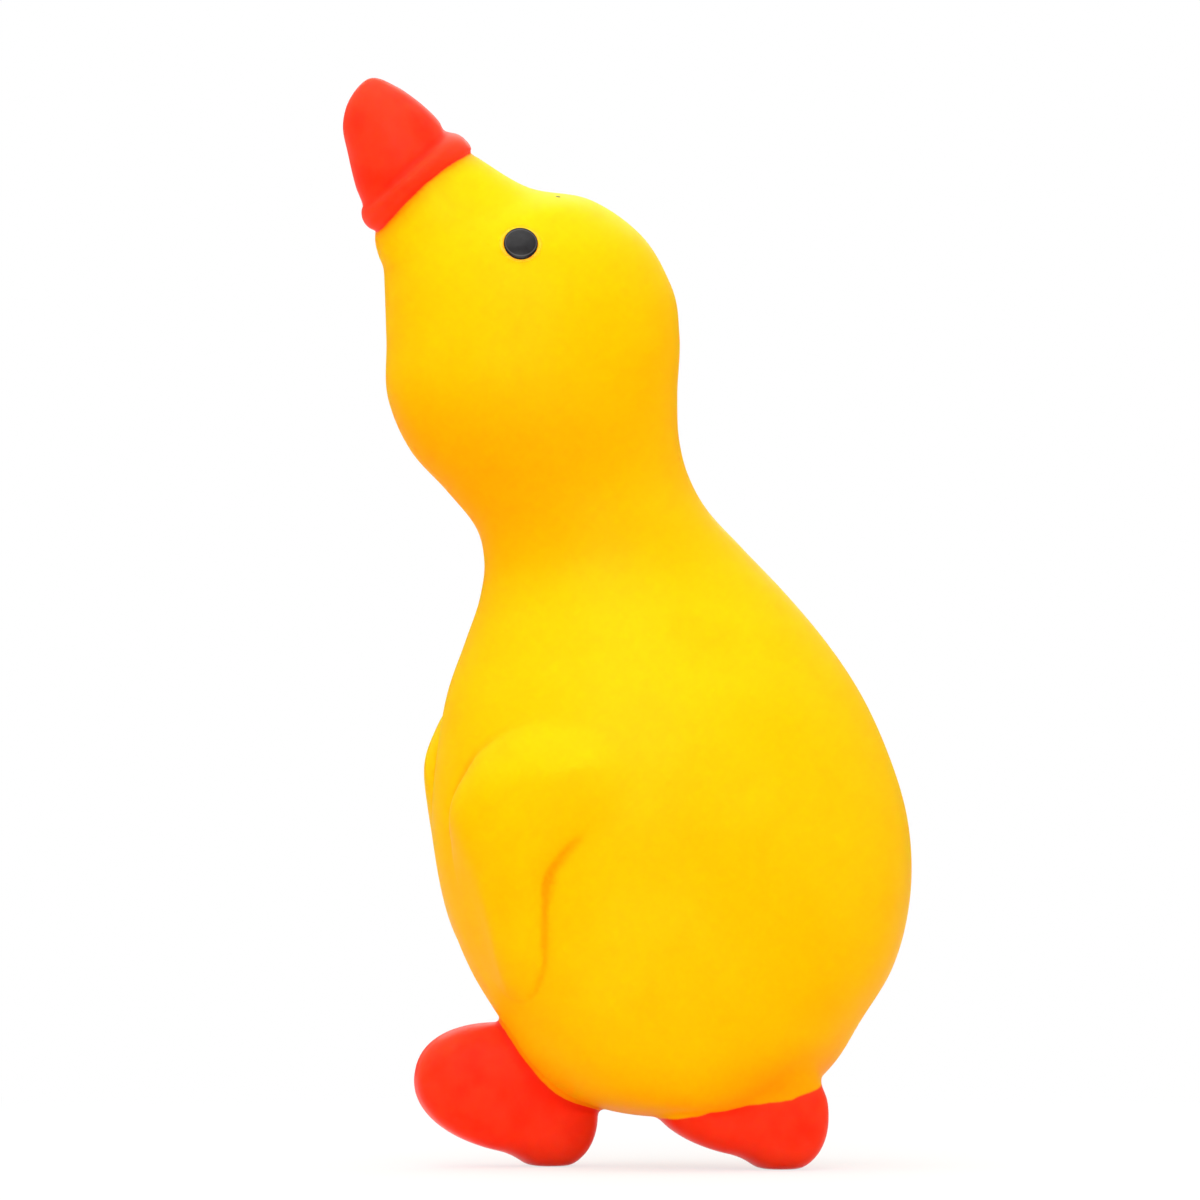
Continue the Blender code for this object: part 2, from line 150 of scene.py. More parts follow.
# Paint. Distances count inwards from its edge. On the left foot it ends at LEFT_PAINT_LEVEL.
FAR_OUTSIDE = -0.05
BEAK_BOTTOM = 0.30
BEAK_BACK = 0.03
PAINT_EDGE = (-0.0006, 0.0004)
PAINT_RAGGED = 0.0008
PAINT_GRAIN = 0.0003
MIST_EDGE = (-0.0080, 0.0005)
BEAK_MIST = (0.20, 0.60)
FOOT_MIST = (0.05, 0.35)
LEFT_PAINT_BACK = (0.0, 0.0115, 0.0179, 0.0265, 0.0351, 0.0501, 0.0544, 0.0587, 0.0640)
LEFT_PAINT_LEVEL = (0.0178, 0.0182, 0.0192, 0.0218, 0.0230, 0.0246, 0.0262, 0.0276, 0.0298)

# Deeper colour in stains, and painted shade at the neck, in hollows and low at the back by the left leg
STAIN_SHARE = 0.25
NECK_SHADE = (0.190, 0.240, 0.250, 0.300)
NECK_SHADE_TURN = (0.02, -0.05)
NECK_SHADE_SHARE = (0.45, 0.95)
HOLLOW_REACH = 0.008
HOLLOW_BLUR = 0.0025
HOLLOW_DEPTH = (0.00007, 0.00075)
HOLLOW_SHADE_SHARE = 0.42
LEG_SHADE_BACK = (0.010, 0.055)
LEG_SHADE_LEVEL = (0.050, 0.028)
LEG_SHADE_SHARE = 0.60

# Thin lines round and in each eye, as shares of its radius
EYE_RING = (1.02, 1.08, 1.12, 1.30)
EYE_RING_SHARE = 0.55
EYE_RING_RISE = 1.5
EYE_LINE = (0.86, 0.90, 0.92, 0.96)
EYE_DARK_EDGE = (0.93, 0.97)

# Surfaces. A pair is a range of roughness, and a grain is a height. The reach of light in the vinyl
# is for red, green and blue.
VINYL_SATIN = (0.42, 0.52)
PAINT_GLOSS = (0.30, 0.40)
VINYL_SHINE = 0.03
VINYL_LIGHT_REACH = (1.0, 0.16, 0.03)
VINYL_LIGHT_SCALE = 0.05
VINYL_GRAIN = 0.00012
VINYL_FINE_SHARE = 0.25
EYE_GLOSS = (0.16, 0.30)
EYE_SHINE = 0.18
EYE_GRAIN = 0.00004
SQUEAKER_SATIN = (0.32, 0.48)
SQUEAKER_GRAIN = 0.00003

# Colours
YELLOW = (1.0, 0.588, 0.001, 1)
YELLOW_PALE = (1.0, 0.630, 0.003, 1)
# Deep yellow, for stains and for painted shade at the neck
YELLOW_DEEP = (1.0, 0.470, 0.001, 1)
YELLOW_RING = (1.0, 0.720, 0.060, 1)
# Orange, for the mist of paint and for painted shade in hollows and low at the back
ORANGE = (1.0, 0.300, 0.001, 1)
RED = (1.0, 0.050, 0.018, 1)
RED_DEEP = (0.93, 0.030, 0.010, 1)
# Dark red of painted shade in the paint's creases
RED_SHADE = (0.62, 0.015, 0.005, 1)
SPECK = (0.030, 0.012, 0.004, 1)
EYE_GREY = (0.022, 0.022, 0.025, 1)
EYE_RIM = (0.060, 0.060, 0.064, 1)
EYE_EDGE = (0.006, 0.006, 0.007, 1)
SQUEAKER_PALE = (0.82, 0.82, 0.80, 1)
SQUEAKER_DEEP = (0.74, 0.74, 0.70, 1)
WHITE = (1, 1, 1, 1)

# Floor, sky and lamps. A lamp has a name, a place and a power in watts.
FLOOR_RADIUS = 4.0
FLOOR_DROP = 0.0002
FLOOR_FADE = (0.25, 0.70)
FLOOR_GLOW = 0.72
FLOOR_PALE = (0.86, 0.86, 0.86, 1)
FLOOR_BOUNCE = (0.90, 0.55, 0.30, 1)
SKY_LOW = (0.34, 0.29, 0.24, 1)
SKY_HIGH = (1.03, 1.03, 1.03, 1)
LAMPS = (
    ("key", (1.7, -0.4, 0.9), 19),
    ("top", (0.3, -0.3, 2.0), 8.5),
    ("back", (-1.4, 0.3, 1.0), 8),
)
LAMP_SIZE = 1.4
LAMP_AIM = (0, 0, 0.2)

# Fineness
RING_STEP, SIDES, VOXEL = 0.0009, 440, 0.0010
MOST_FACES = 190_000
SMOOTH_WEIGHT = 0.5
REMESH_ROUNDS = 2
WING_EDGE_STEPS = 12
WING_POINTS_AT_ONCE = 8000
LOBE_SEGMENTS = 96
LOBE_RINGS = 64
EYE_SIDES = 72
SOCKET_SIDES = 96
FLOOR_SIDES = 64


# Shapes


def body_sections():
    """Front and back of each section, as reach and height, its width and its bow.

    The rows hold shares of the body's height, depth and width.
    """
    rows = (
        (0.014, 0.078, 0.014, -0.241, 0.600),
        (0.043, 0.165, 0.043, -0.331, 0.755),
        (0.098, 0.238, 0.098, -0.401, 0.855),
        (0.169, 0.291, 0.169, -0.454, 0.915),
        (0.261, 0.357, 0.261, -0.521, 0.957),
        (0.395, 0.416, 0.395, -0.561, 0.992),
        (0.528, 0.439, 0.528, -0.555, 1.000),
        (0.652, 0.428, 0.652, -0.511, 0.963),
        (0.755, 0.407, 0.755, -0.454, 0.884),
        (0.848, 0.369, 0.848, -0.380, 0.773),
        (0.922, 0.340, 0.933, -0.295, 0.673),
        (0.990, 0.331, 1.011, -0.207, 0.595),
    )
    height = NECK_LEVEL - BELLY_LEVEL
    for front_up, front, back_up, back, width in rows:
        yield (
            BODY_REACH + front * BODY_DEPTH,
            BELLY_LEVEL + front_up * height,
            BODY_REACH + back * BODY_DEPTH,
            BELLY_LEVEL + back_up * height,
            width * BODY_WIDTH,
            0,
        )


def head_sections():
    """Sections of the head, nearly level at first and tilted more and more towards the beak."""
    rows = (
        (0.470, 0.074, -0.323, 0.118, 0.831),
        (0.570, 0.173, -0.257, 0.211, 0.831),
        (0.691, 0.279, -0.223, 0.312, 0.895),
        (0.771, 0.421, -0.216, 0.435, 0.967),
        (0.778, 0.585, -0.223, 0.599, 0.999),
        (0.784, 0.722, -0.192, 0.738, 0.975),
        (0.789, 0.780, -0.091, 0.872, 0.879),
        (0.805, 0.812, 0.082, 0.968, 0.727),
        (0.817, 0.846, 0.303, 1.004, 0.591),
    )
    for front, front_up, back, back_up, width in rows:
        yield (
            NECK_REACH + front * HEAD_DEPTH,
            NECK_LEVEL + front_up * HEAD_HEIGHT,
            NECK_REACH + back * HEAD_DEPTH,
            NECK_LEVEL + back_up * HEAD_HEIGHT,
            width * HEAD_WIDTH,
            0,
        )


def beak_point(along, across):
    """A point of the plane of symmetry, measured along the beak and across it towards the forehead."""
    return (
        BEAK_REACH + along * math.cos(BEAK_TILT) - across * math.sin(BEAK_TILT),
        BEAK_LEVEL + along * math.sin(BEAK_TILT) + across * math.cos(BEAK_TILT),
    )


def beak_sections():
    """Sections across the beak. The first is hidden in the head and the second is the painted edge."""
    rows = (
        (-0.155, -0.504, 0.056, 0.520, 1.040, 1.0),
        (-0.132, -0.489, 0.115, 0.482, 1.000, 1.0),
        (-0.079, -0.530, 0.145, 0.505, 1.070, 0.95),
        (-0.003, -0.546, 0.227, 0.493, 1.095, 0.70),
        (0.058, -0.527, 0.299, 0.450, 1.062, 0.40),
        (0.091, -0.500, 0.348, 0.384, 0.935, 0.20),
        (0.256, -0.483, 0.452, 0.360, 0.918, 0.00),
        (0.523, -0.426, 0.563, 0.323, 0.853, 0.00),
        (0.754, -0.362, 0.720, 0.248, 0.689, 0.00),
        (0.899, -0.245, 0.845, 0.170, 0.480, 0.00),
    )
    for front_along, front, back_along, back, width, bow in rows:
        yield (
            *beak_point(front_along * BEAK_LENGTH, front * BEAK_WIDTH),
            *beak_point(back_along * BEAK_LENGTH, back * BEAK_WIDTH),
            width * BEAK_WIDTH,
            bow * COLLAR_BOW,
        )


def smooth_rows(stations, rows, at):
    """The rows read at other stations, along a curve that passes through each of them."""
    gaps = np.diff(stations)
    slopes = np.diff(rows, axis=0) / gaps[:, None]
    bends = (slopes[:-1] * gaps[1:, None] + slopes[1:] * gaps[:-1, None]) / (gaps[:-1] + gaps[1:])[:, None]
    bends = np.vstack([slopes[:1], bends, slopes[-1:]])
    i = np.clip(np.searchsorted(stations, at, side="right") - 1, 0, len(gaps) - 1)
    h = gaps[i][:, None]
    s = ((at - stations[i]) / gaps[i])[:, None]
    return (
        rows[i] * (1 + 2 * s) * (1 - s) ** 2
        + bends[i] * h * s * (1 - s) ** 2
        + rows[i + 1] * s * s * (3 - 2 * s)
        + bends[i + 1] * h * s * s * (s - 1)
    )


def skin_grid(step, sides):
    """The skin's two end points, its rings, each point's turn round its ring and the painted ring."""
    before_beak = [*body_sections(), *head_sections()]
    painted = len(before_beak) + 1
    rows = np.array([*before_beak, *beak_sections()])
    rows[:, 4] /= 2
    belly = np.array([(rows[0, 0] + rows[0, 2]) / 2, BELLY_LEVEL])
    tip = np.array(beak_point(BEAK_LENGTH, 0))
    # The rows go on past each end on the skin's other side, so that both ends are round.
    swapped = [2, 3, 0, 1, 4, 5]
    before = rows[0, swapped] * (1, 1, 1, 1, -1, 1)
    after = rows[-1, swapped] * (1, 1, 1, 1, -1, 1)
    rows = np.vstack([before, [*belly, *belly, 0, 0], rows, [*tip, *tip, 0, 0], after])
    strides = np.diff(rows, axis=0)
    lengths = (np.hypot(strides[:, 0], strides[:, 1]) + np.hypot(strides[:, 2], strides[:, 3])) / 2
    stations = np.concatenate([[0], np.cumsum(lengths)])
    at = []
    for low, high in zip(stations[1:-2], stations[2:-1]):
        count = max(1, round((high - low) / step))
        at += list(np.linspace(low, high, count, endpoint=False))
    painted_ring = at.index(stations[2 + painted]) - 1
    rings = smooth_rows(stations, rows, np.array(at[1:]))
    turn = np.linspace(-np.pi, np.pi, sides, endpoint=False)
    middle = (rings[:, 0:2] + rings[:, 2:4]) / 2
    half = (rings[:, 0:2] - rings[:, 2:4]) / 2
    bow = rings[:, 5:6] * np.sin(turn) ** 2
    grid = np.empty((len(rings), sides, 3))
    grid[:, :, 0] = rings[:, 4:5] * np.sin(turn)
    grid[:, :, 1] = -(middle[:, 0:1] + half[:, 0:1] * np.cos(turn) + bow * math.cos(BEAK_TILT))
    grid[:, :, 2] = middle[:, 1:2] + half[:, 1:2] * np.cos(turn) + bow * math.sin(BEAK_TILT)
    ends = np.array([(0, -belly[0], belly[1]), (0, -tip[0], tip[1])])
    return ends, grid, turn, painted_ring


def grid_normals(ends, grid):
    first = np.broadcast_to(ends[0], grid[:1].shape)
    last = np.broadcast_to(ends[1], grid[:1].shape)
    along = np.concatenate([grid[1:], last]) - np.concatenate([first, grid[:-1]])
    around = np.roll(grid, -1, axis=1) - np.roll(grid, 1, axis=1)
    outward = np.cross(around, along)
    return outward / np.linalg.norm(outward, axis=2, keepdims=True)


def wing_outline():
    """The left wing's edge: its turn from the breast and its height above the wing's tip, both as
    lengths on the skin, and how crisp and how high it is there, from 0 to 1.

    The rows hold degrees and shares of the wing's length.
    """
    rows = np.array(
        (
            (15.0, 0.52, 0.4, 0.40),
            (15.5, 0.62, 0.7, 0.80),
            (18.0, 0.715, 0.6, 1.00),
            (23.0, 0.802, 0.45, 1.00),
            (30.0, 0.892, 0.25, 1.00),
            (43.0, 0.965, 0.05, 0.90),
            (56.0, 0.970, 0.0, 0.80),
            (66.0, 0.92, 0.0, 0.80),
            (70.0, 0.84, 0.0, 0.80),
            (68.0, 0.74, 0.0, 0.80),
            (63.0, 0.63, 0.05, 0.80),
            (55.0, 0.53, 0.6, 0.85),
            (49.0, 0.43, 0.95, 0.85),
            (46.4, 0.32, 0.74, 0.80),
            (43.7, 0.20, 0.67, 0.75),
            (40.5, 0.10, 0.62, 0.65),
            (34.0, 0.02, 0.58, 0.50),
            (27.0, -0.02, 0.4, 0.40),
            (19.0, 0.00, 0.2, 0.30),
            (15.0, 0.12, 0.0, 0.20),
            (15.0, 0.32, 0.0, 0.20),
        )
    )
    count = len(rows)
    looped = np.vstack([rows[-1:], rows, rows[:2]])
    at = np.linspace(1, count + 1, WING_EDGE_STEPS * count, endpoint=False)
    edge = smooth_rows(np.arange(len(looped), dtype=float), looped, at)
    edge[:, 0] = np.radians(edge[:, 0]) * WING_GIRTH
    edge[:, 1] = WING_TIP_LEVEL + edge[:, 1] * WING_LENGTH
    return edge


def smooth_step(value):
    value = np.clip(value, 0, 1)
    return value * value * (3 - 2 * value)


def wing_relief(turn, level):
    """How far the wings stand out of the skin."""
    edge = wing_outline()
    follow = np.roll(edge, -1, axis=0)
    x0, z0, x1, z1 = edge[:, 0], edge[:, 1], follow[:, 0], follow[:, 1]
    run, climb = x1 - x0, z1 - z0
    px = np.where(turn < 0, RIGHT_WING_ADVANCE - turn, turn).ravel() * WING_GIRTH
    pz = np.where(turn < 0, level - RIGHT_WING_RISE, level).ravel()
    relief = np.zeros(len(px))
    reach = WING_GROOVE_WIDTH + WING_FADE
    near = (
        (px > edge[:, 0].min() - reach)
        & (px < edge[:, 0].max() + reach)
        & (pz > edge[:, 1].min() - reach)
        & (pz < edge[:, 1].max() + reach)
    )
    picked = np.flatnonzero(near)
    for part in np.array_split(picked, max(1, len(picked) // WING_POINTS_AT_ONCE)):
        x = px[part][:, None]
        z = pz[part][:, None]
        share = np.clip(((x - x0) * run + (z - z0) * climb) / (run**2 + climb**2), 0, 1)
        away = np.hypot(x - x0 - share * run, z - z0 - share * climb)
        distance = away.min(axis=1)
        crossings = ((z0 > z) != (z1 > z)) & (x < x0 + (z - z0) * run / np.where(climb == 0, 1, climb))
        inside = np.where(crossings.sum(axis=1) % 2 == 1, distance, -distance)
        nearness = 1 / (away**2 + WING_BLEND**2) ** 2
        crisp, height = (nearness @ edge[:, 2:] / nearness.sum(axis=1, keepdims=True)).T
        groove = WING_GROOVE * crisp * height * (1 - smooth_step(distance / WING_GROOVE_WIDTH))
        steep = np.clip(inside / WING_CRISP_RISE, 0, 1)
        round_edge = np.sqrt(1 - (1 - steep) ** 2)
        soft_edge = smooth_step((inside + WING_FADE) / (WING_SOFT_RISE + WING_FADE))
        relief[part] = WING_RELIEF * height * (crisp * round_edge + (1 - crisp) * soft_edge) - groove
    return relief.reshape(level.shape)


def ring_faces(rings, sides):
    """Faces between rings of points, and fans from the two end points, which come after the rings."""
    faces = []
    low_end = rings * sides
    for k in range(sides):
        n = (k + 1) % sides
        faces.append((low_end, n, k))
        for r in range(rings - 1):
            faces.append((r * sides + k, r * sides + n, (r + 1) * sides + n, (r + 1) * sides + k))
        faces.append((low_end + 1, (rings - 1) * sides + k, (rings - 1) * sides + n))
    return faces


def raised_skin():
    """The skin's points and faces with its wings raised, its rings as a grid and the painted ring."""
    ends, grid, turn, painted_ring = skin_grid(RING_STEP, SIDES)
    level = grid[:, :, 2]
    relief = wing_relief(np.broadcast_to(turn, level.shape), level)
    grid = grid + grid_normals(ends, grid) * relief[:, :, None]
    points = np.vstack([grid.reshape(-1, 3), ends]).tolist()
    return points, ring_faces(len(grid), SIDES), grid, painted_ring


def lobe(middle, front, back, width, height, tilt):
    """Points and faces of a rounded lump, longer or shorter ahead of its widest section than behind it."""
    bm = bmesh.new()
    bmesh.ops.create_uvsphere(bm, u_segments=LOBE_SEGMENTS, v_segments=LOBE_RINGS, radius=1)
    for vert in bm.verts:
        x, y, z = (abs(c) for c in vert.co)
        upright = (y**LOBE_POWER + z**LOBE_POWER) ** (1 / LOBE_POWER)
        size = (x**LOBE_SIDE_POWER + upright**LOBE_SIDE_POWER) ** (-1 / LOBE_SIDE_POWER)
        x, y, z = vert.co * size
        vert.co = (x * width / 2, y * (front if y < 0 else back), z * height / 2)
    move = Matrix.Translation(middle) @ Matrix.Rotation(-tilt, 4, "X")
    bmesh.ops.transform(bm, matrix=move, verts=bm.verts)
    points = [tuple(v.co) for v in bm.verts]
    faces = [tuple(v.index for v in f.verts) for f in bm.faces]
    bm.free()
    return points, faces


def foot_lobes(across, heel_reach):
    heel_middle = Vector((across, -heel_reach, HEEL_HEIGHT / 2 - SOLE_SINK))
    toe_middle = Vector((across, -(heel_reach + TOE_LEAD), TOE_LEVEL))
    half = HEEL_LENGTH / 2
    return (
        lobe(heel_middle, half, half, HEEL_WIDTH, HEEL_HEIGHT, 0),
        lobe(toe_middle, TOE_LENGTH, TOE_ROOT, TOE_WIDTH, TOE_HEIGHT, TOE_TILT),
    )


def joined(shapes):
    """The points and the faces of several shapes as one list each."""
    points, faces = [], []
    for more_points, more_faces in shapes:
        first = len(points)
        points += more_points
        faces += [tuple(first + i for i in face) for face in more_faces]
    return points, faces


# One fused skin


def mesh_object(name, points, faces):
    mesh = bpy.data.meshes.new(name)
    mesh.from_pydata(points, [], faces)
    mesh.shade_smooth()
    piece = bpy.data.objects.new(name, mesh)
    bpy.context.scene.collection.objects.link(piece)
    return piece


def applied(piece):
    """The piece's mesh with its modifiers applied."""
    bpy.context.view_layer.update()
    graph = bpy.context.evaluated_depsgraph_get()
    mesh = bpy.data.meshes.new_from_object(piece.evaluated_get(graph), depsgraph=graph)
    piece.modifiers.clear()
    piece.data = mesh
    return mesh


def coordinates(mesh):
    points = np.empty(len(mesh.vertices) * 3)
    mesh.vertices.foreach_get("co", points)
    return points.reshape(-1, 3)


def edge_pairs(mesh):
    """The numbers of the two points of each edge."""
    pairs = np.empty(len(mesh.edges) * 2, int)
    mesh.edges.foreach_get("vertices", pairs)
    return pairs.reshape(-1, 2)


def smoothed(points, edges, weight, rounds):
    """Each point drawn towards the middle of its neighbours, as far as its weight says."""
    count = len(points)
    a = np.concatenate([edges[:, 0], edges[:, 1]])
    b = np.concatenate([edges[:, 1], edges[:, 0]])
    neighbours = np.maximum(np.bincount(a, minlength=count), 1)
    for _ in range(rounds):
        sums = [np.bincount(a, points[b, k], minlength=count) for k in range(points.shape[1])]
        middle = np.stack(sums, axis=1) / neighbours[:, None]
        points = points + (middle - points) * weight[:, None]
    return points


def nearest(tree, points):
    """For each point, the nearest point of a surface, its face and the distance."""
    places = np.empty((len(points), 3))
    faces = np.empty(len(points), int)
    gaps = np.empty(len(points))
    for i, point in enumerate(points):
        place, _, face, gap = tree.find_nearest(point)
        places[i] = place
        faces[i] = face
        gaps[i] = gap
    return places, faces, gaps


def softened(points, edges, skin_tree, foot_trees, lobe_trees):
    """The points put back onto the true surfaces, except in the creases round and between the lobes."""
    points = smoothed(points, edges, np.full(len(points), SMOOTH_WEIGHT), REMESH_ROUNDS)
    place, _, skin_gap = nearest(skin_tree, points)
    foot_gap = np.full(len(points), np.inf)
    foot_place = points.copy()
    low = np.flatnonzero(points[:, 2] < FEET_TOP)
    for tree in foot_trees.values():
        found, _, gap = nearest(tree, points[low])
        closer = gap < foot_gap[low]
        foot_gap[low[closer]] = gap[closer]
        foot_place[low[closer]] = found[closer]
    true_place = np.where((foot_gap < skin_gap)[:, None], foot_place, place)
    crease = np.maximum(skin_gap, foot_gap)
    held = smooth_step(crease / CREASE - CREASE_START)
    points = points + (true_place - points) * held[:, None]
    points = smoothed(points, edges, SMOOTH_WEIGHT * (1 - held), CREASE_ROUNDS)

    leg = smooth_step((points[:, 2] - LEG_LEVEL) / LEG_LEVEL_FADE)
    leg = leg * smooth_step((points[:, 1] - LEG_BACK) / LEG_BACK_FADE) * (points[:, 0] > 0)
    leg = leg * (1 - smooth_step(crease / LEG_CREASE))
    gaps = np.array([nearest(tree, points[low])[2] for tree in lobe_trees])
    notch = np.minimum(np.maximum(gaps[0], gaps[1]), np.maximum(gaps[2], gaps[3]))
    leg[low] = np.maximum(leg[low], 1 - smooth_step(notch / NOTCH))
    return smoothed(points, edges, SMOOTH_WEIGHT * leg, round((LEG_CREASE / VOXEL) ** 2))


def fused_body():
    """The body, head, beak, wings and feet as one closed skin, with soft creases where the feet join."""
    skin_points, skin_faces, grid, painted_ring = raised_skin()
    skin_tree = BVHTree.FromPolygons(skin_points, skin_faces)
    feet = {
        "left": foot_lobes(LEFT_STANCE, LEFT_HEEL_REACH),
        "right": foot_lobes(-RIGHT_STANCE, RIGHT_HEEL_REACH),
    }
    foot_trees = {side: BVHTree.FromPolygons(*joined(lobes)) for side, lobes in feet.items()}
    every_lobe = [*feet["left"], *feet["right"]]
    lobe_trees = [BVHTree.FromPolygons(*shape) for shape in every_lobe]

    body = mesh_object("duck_body", *joined([(skin_points, skin_faces), *every_lobe]))
    step = body.modifiers.new("fused", "REMESH")
    step.mode = "VOXEL"
    step.voxel_size = VOXEL
    mesh = applied(body)
    points = softened(coordinates(mesh), edge_pairs(mesh), skin_tree, foot_trees, lobe_trees)
    # What lies below the floor becomes a flat sole, with an edge that is a little rounded.
    sole = points[:, 2] < SOLE_SINK
    points[sole, 2] = np.maximum(points[sole, 2] + SOLE_SINK, 0) ** 2 / (4 * SOLE_SINK)
    mesh.vertices.foreach_set("co", points.ravel())
    mesh.update()

    step = body.modifiers.new("fewer_faces", "DECIMATE")
    step.ratio = min(1.0, MOST_FACES / (2 * len(mesh.polygons)))
    applied(body)
    mesh = cut_socket(body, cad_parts["squeaker"])
    mesh.shade_smooth()
    mesh.set_sharp_from_angle(angle=SOCKET_EDGE)
    points = coordinates(mesh)
    beak_paint_field(mesh, points, skin_tree, painted_ring, grid)
    foot_paint_field(mesh, points, skin_tree, foot_trees)
    hollow_field(mesh, points)
    return body, skin_tree


def cut_socket(body, squeaker):
    """The body's mesh with a socket in its underside that follows the squeaker's side."""
    corners = np.array([squeaker.matrix_world @ Vector(corner) for corner in squeaker.bound_box])
    low, high = corners.min(axis=0), corners.max(axis=0)
    middle = (low + high) / 2
    rib = (high[0] - low[0]) / 2 + SOCKET_CLEARANCE
    radius = rib - SQUEAKER_RIB
    profile = np.array(
        (
            (radius, low[2] - SOCKET_DEPTH_BELOW),
            (radius, middle[2] - 2 * SQUEAKER_RIB),
            (rib, middle[2]),
            (radius, middle[2] + 2 * SQUEAKER_RIB),
            (radius, high[2] + SOCKET_CLEARANCE),
        )
    )
    turn = np.linspace(-np.pi, np.pi, SOCKET_SIDES, endpoint=False)
    rings = np.empty((len(profile), SOCKET_SIDES, 3))
    rings[:, :, 0] = middle[0] + profile[:, :1] * np.sin(turn)
    rings[:, :, 1] = middle[1] - profile[:, :1] * np.cos(turn)
    rings[:, :, 2] = profile[:, 1:]
    ends = [(middle[0], middle[1], profile[0, 1]), (middle[0], middle[1], profile[-1, 1])]
    points = np.vstack([rings.reshape(-1, 3), ends]).tolist()
    cutter = mesh_object("socket", points, ring_faces(len(profile), SOCKET_SIDES))
    step = body.modifiers.new("socket", "BOOLEAN")
    step.operation = "DIFFERENCE"
    step.solver = "MANIFOLD"
    step.object = cutter
    mesh = applied(body)
    bpy.data.objects.remove(cutter)
    return mesh


# Fields that the vinyl's material reads


def store(mesh, name, values):
    field = mesh.attributes.new(name, "FLOAT", "POINT")
    field.data.foreach_set("value", values.astype(np.float32))


def beak_paint_field(mesh, points, skin_tree, painted_ring, grid):
    """How far each point lies inside the beak's paint."""
    inside = np.full(len(points), FAR_OUTSIDE)
    high = np.flatnonzero((points[:, 2] > BEAK_BOTTOM) & (points[:, 1] < -BEAK_BACK))
    ring = grid[painted_ring]
    _, faces, _ = nearest(skin_tree, points[high])
    # The faces run in strips along the skin, each with one face before its first ring.
    rings = (faces % (len(grid) + 1)) - 1
    away = np.array([np.sqrt(((ring - p) ** 2).sum(axis=1)).min() for p in points[high]])
    inside[high] = np.where(rings >= painted_ring, away, -away)
    store(mesh, "beak_paint", inside)


def foot_paint_field(mesh, points, skin_tree, foot_trees):
    """How far each point lies inside the feet's paint."""
    inside = np.full(len(points), FAR_OUTSIDE)
    low = np.flatnonzero(points[:, 2] < FEET_TOP)
    _, _, skin_gap = nearest(skin_tree, points[low])
    for side, tree in foot_trees.items():
        _, _, gap = nearest(tree, points[low])
        own = skin_gap - gap
        if side == "left":
            paint_level = np.interp(points[low, 1], LEFT_PAINT_BACK, LEFT_PAINT_LEVEL)
            own = np.minimum(own, paint_level - points[low, 2])
        inside[low] = np.maximum(inside[low], own)
    store(mesh, "foot_paint", inside)


def hollow_field(mesh, points):
    """How far each point lies below the middle of the skin round it, from which the vinyl paints shade in
    hollows.
    """
    edges = edge_pairs(mesh)
    normals = np.empty(len(points) * 3)
    mesh.vertex_normals.foreach_get("vector", normals)
    even = np.full(len(points), SMOOTH_WEIGHT)
    rise = smoothed(points, edges, even, round((HOLLOW_REACH / VOXEL) ** 2)) - points
    depth = (rise * normals.reshape(-1, 3)).sum(axis=1, keepdims=True)
    depth = smoothed(depth, edges, even, round((HOLLOW_BLUR / VOXEL) ** 2))
    store(mesh, "hollow", depth.ravel())


# Eyes as pieces


def make_eye(name, side, skin_tree):
    """A low button that follows the skin it sits on, and the place of its middle."""
    place, outward, _, _ = skin_tree.ray_cast(
        Vector((side * HEAD_WIDTH, -EYE_REACH, EYE_LEVEL)), Vector((-side, 0, 0))
    )
    turned = outward.to_track_quat("Z", "Y").to_matrix()
    radius = EYE_DIAMETER / 2
    points, faces = [], []
    for share, rise in EYE_PROFILE:
        for k in range(EYE_SIDES if share else 1):
            angle = 2 * math.pi * k / EYE_SIDES
            flat = Vector((math.cos(angle), math.sin(angle) * EYE_TALL, 0)) * radius * share
            start = place + turned @ flat + outward * EYE_LIFT
            hit, _, _, _ = skin_tree.ray_cast(start, -outward)
            points.append(tuple(hit + outward * EYE_RELIEF * rise))
    last = 1 + (len(EYE_PROFILE) - 2) * EYE_SIDES
    for k in range(EYE_SIDES):
        n = (k + 1) % EYE_SIDES
        faces.append((0, 1 + k, 1 + n))
        for ring in range(1, last, EYE_SIDES):
            outer = ring + EYE_SIDES
            faces.append((ring + k, outer + k, outer + n, ring + n))
    faces.append(tuple(last + k for k in reversed(range(EYE_SIDES))))
    return mesh_object(name, points, faces), place


# Materials


